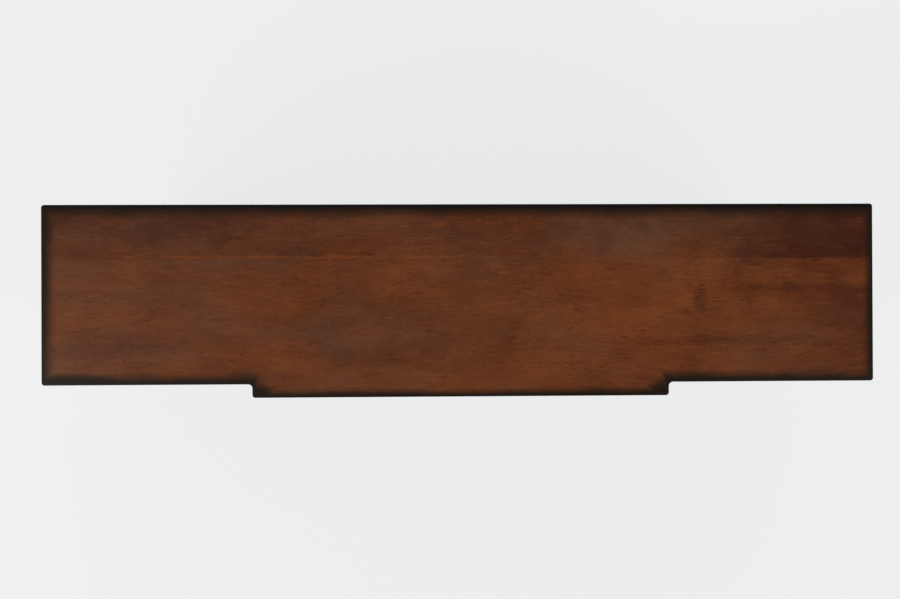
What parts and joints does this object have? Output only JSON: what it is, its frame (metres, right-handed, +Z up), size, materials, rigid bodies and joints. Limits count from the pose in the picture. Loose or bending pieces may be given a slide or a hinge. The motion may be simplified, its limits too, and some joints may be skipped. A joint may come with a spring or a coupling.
{
  "type": "lowboy",
  "caption": "Long low breakfront chest of drawers in dark stained wood, with tapered feet and sliding dovetailed drawers.",
  "frame": {"origin": "on the floor under the middle of the whole piece, knobs included", "axes": "+X to the right as one faces the drawers, +Y to the back, +Z up; the drawers open towards -Y"},
  "size_m": [1.98, 0.464, 0.79],
  "materials": {
    "stained_wood": "brown stained open-grain hardwood, satin lacquer, edges burnished nearly black",
    "case_softwood": "unfinished sawn softwood",
    "drawer_wood": "pale hardwood, clear sealed",
    "plywood": "thin sealed plywood",
    "aged_bronze": "dark aged bronze, rubbed brighter on the arrises",
    "nylon": "natural nylon"
  },
  "bodies": {
    "case": {"top": "stained_wood", "front_post_left": "stained_wood", "front_post_right": "stained_wood", "break_post_left": "stained_wood", "break_post_right": "stained_wood", "rear_post_left": "stained_wood", "rear_post_right": "stained_wood", "rear_inner_posts": "stained_wood", "end_rails_left": "stained_wood", "end_rails_right": "stained_wood", "end_panel_left": "stained_wood", "end_panel_right": "stained_wood", "partition_left": "case_softwood", "partition_right": "case_softwood", "top_rails": "stained_wood", "drawer_blades": "stained_wood", "aprons": "stained_wood", "drawer_runners": "case_softwood", "guide_rails": "case_softwood", "back_rails": "case_softwood", "back_panel": "plywood", "dust_panels": "plywood", "drawer_stops": "case_softwood", "floor_glides": "nylon"},
    "left_bottom_drawer": {"left_bottom_drawer_front": "stained_wood", "left_bottom_drawer_box": "drawer_wood", "left_bottom_drawer_bottom": "plywood", "left_bottom_drawer_knobs": "aged_bronze"},
    "left_middle_drawer": {"left_middle_drawer_front": "stained_wood", "left_middle_drawer_box": "drawer_wood", "left_middle_drawer_bottom": "plywood", "left_middle_drawer_knobs": "aged_bronze"},
    "left_top_drawer": {"left_top_drawer_front": "stained_wood", "left_top_drawer_box": "drawer_wood", "left_top_drawer_bottom": "plywood", "left_top_drawer_knobs": "aged_bronze"},
    "centre_bottom_drawer": {"centre_bottom_drawer_front": "stained_wood", "centre_bottom_drawer_box": "drawer_wood", "centre_bottom_drawer_bottom": "plywood", "centre_bottom_drawer_knobs": "aged_bronze"},
    "centre_middle_drawer": {"centre_middle_drawer_front": "stained_wood", "centre_middle_drawer_box": "drawer_wood", "centre_middle_drawer_bottom": "plywood", "centre_middle_drawer_knobs": "aged_bronze"},
    "centre_top_drawer": {"centre_top_drawer_front": "stained_wood", "centre_top_drawer_box": "drawer_wood", "centre_top_drawer_bottom": "plywood", "centre_top_drawer_knobs": "aged_bronze"},
    "right_bottom_drawer": {"right_bottom_drawer_front": "stained_wood", "right_bottom_drawer_box": "drawer_wood", "right_bottom_drawer_bottom": "plywood", "right_bottom_drawer_knobs": "aged_bronze"},
    "right_middle_drawer": {"right_middle_drawer_front": "stained_wood", "right_middle_drawer_box": "drawer_wood", "right_middle_drawer_bottom": "plywood", "right_middle_drawer_knobs": "aged_bronze"},
    "right_top_drawer": {"right_top_drawer_front": "stained_wood", "right_top_drawer_box": "drawer_wood", "right_top_drawer_bottom": "plywood", "right_top_drawer_knobs": "aged_bronze"}
  },
  "joints": [
    {"name": "left_bottom_slide", "type": "slide", "parent": "case", "child": "left_bottom_drawer", "axis": [0, -1, 0], "range_m": [0, 0.25]},
    {"name": "left_middle_slide", "type": "slide", "parent": "case", "child": "left_middle_drawer", "axis": [0, -1, 0], "range_m": [0, 0.25]},
    {"name": "left_top_slide", "type": "slide", "parent": "case", "child": "left_top_drawer", "axis": [0, -1, 0], "range_m": [0, 0.25]},
    {"name": "centre_bottom_slide", "type": "slide", "parent": "case", "child": "centre_bottom_drawer", "axis": [0, -1, 0], "range_m": [0, 0.25]},
    {"name": "centre_middle_slide", "type": "slide", "parent": "case", "child": "centre_middle_drawer", "axis": [0, -1, 0], "range_m": [0, 0.25]},
    {"name": "centre_top_slide", "type": "slide", "parent": "case", "child": "centre_top_drawer", "axis": [0, -1, 0], "range_m": [0, 0.25]},
    {"name": "right_bottom_slide", "type": "slide", "parent": "case", "child": "right_bottom_drawer", "axis": [0, -1, 0], "range_m": [0, 0.25]},
    {"name": "right_middle_slide", "type": "slide", "parent": "case", "child": "right_middle_drawer", "axis": [0, -1, 0], "range_m": [0, 0.25]},
    {"name": "right_top_slide", "type": "slide", "parent": "case", "child": "right_top_drawer", "axis": [0, -1, 0], "range_m": [0, 0.25]}
  ]
}
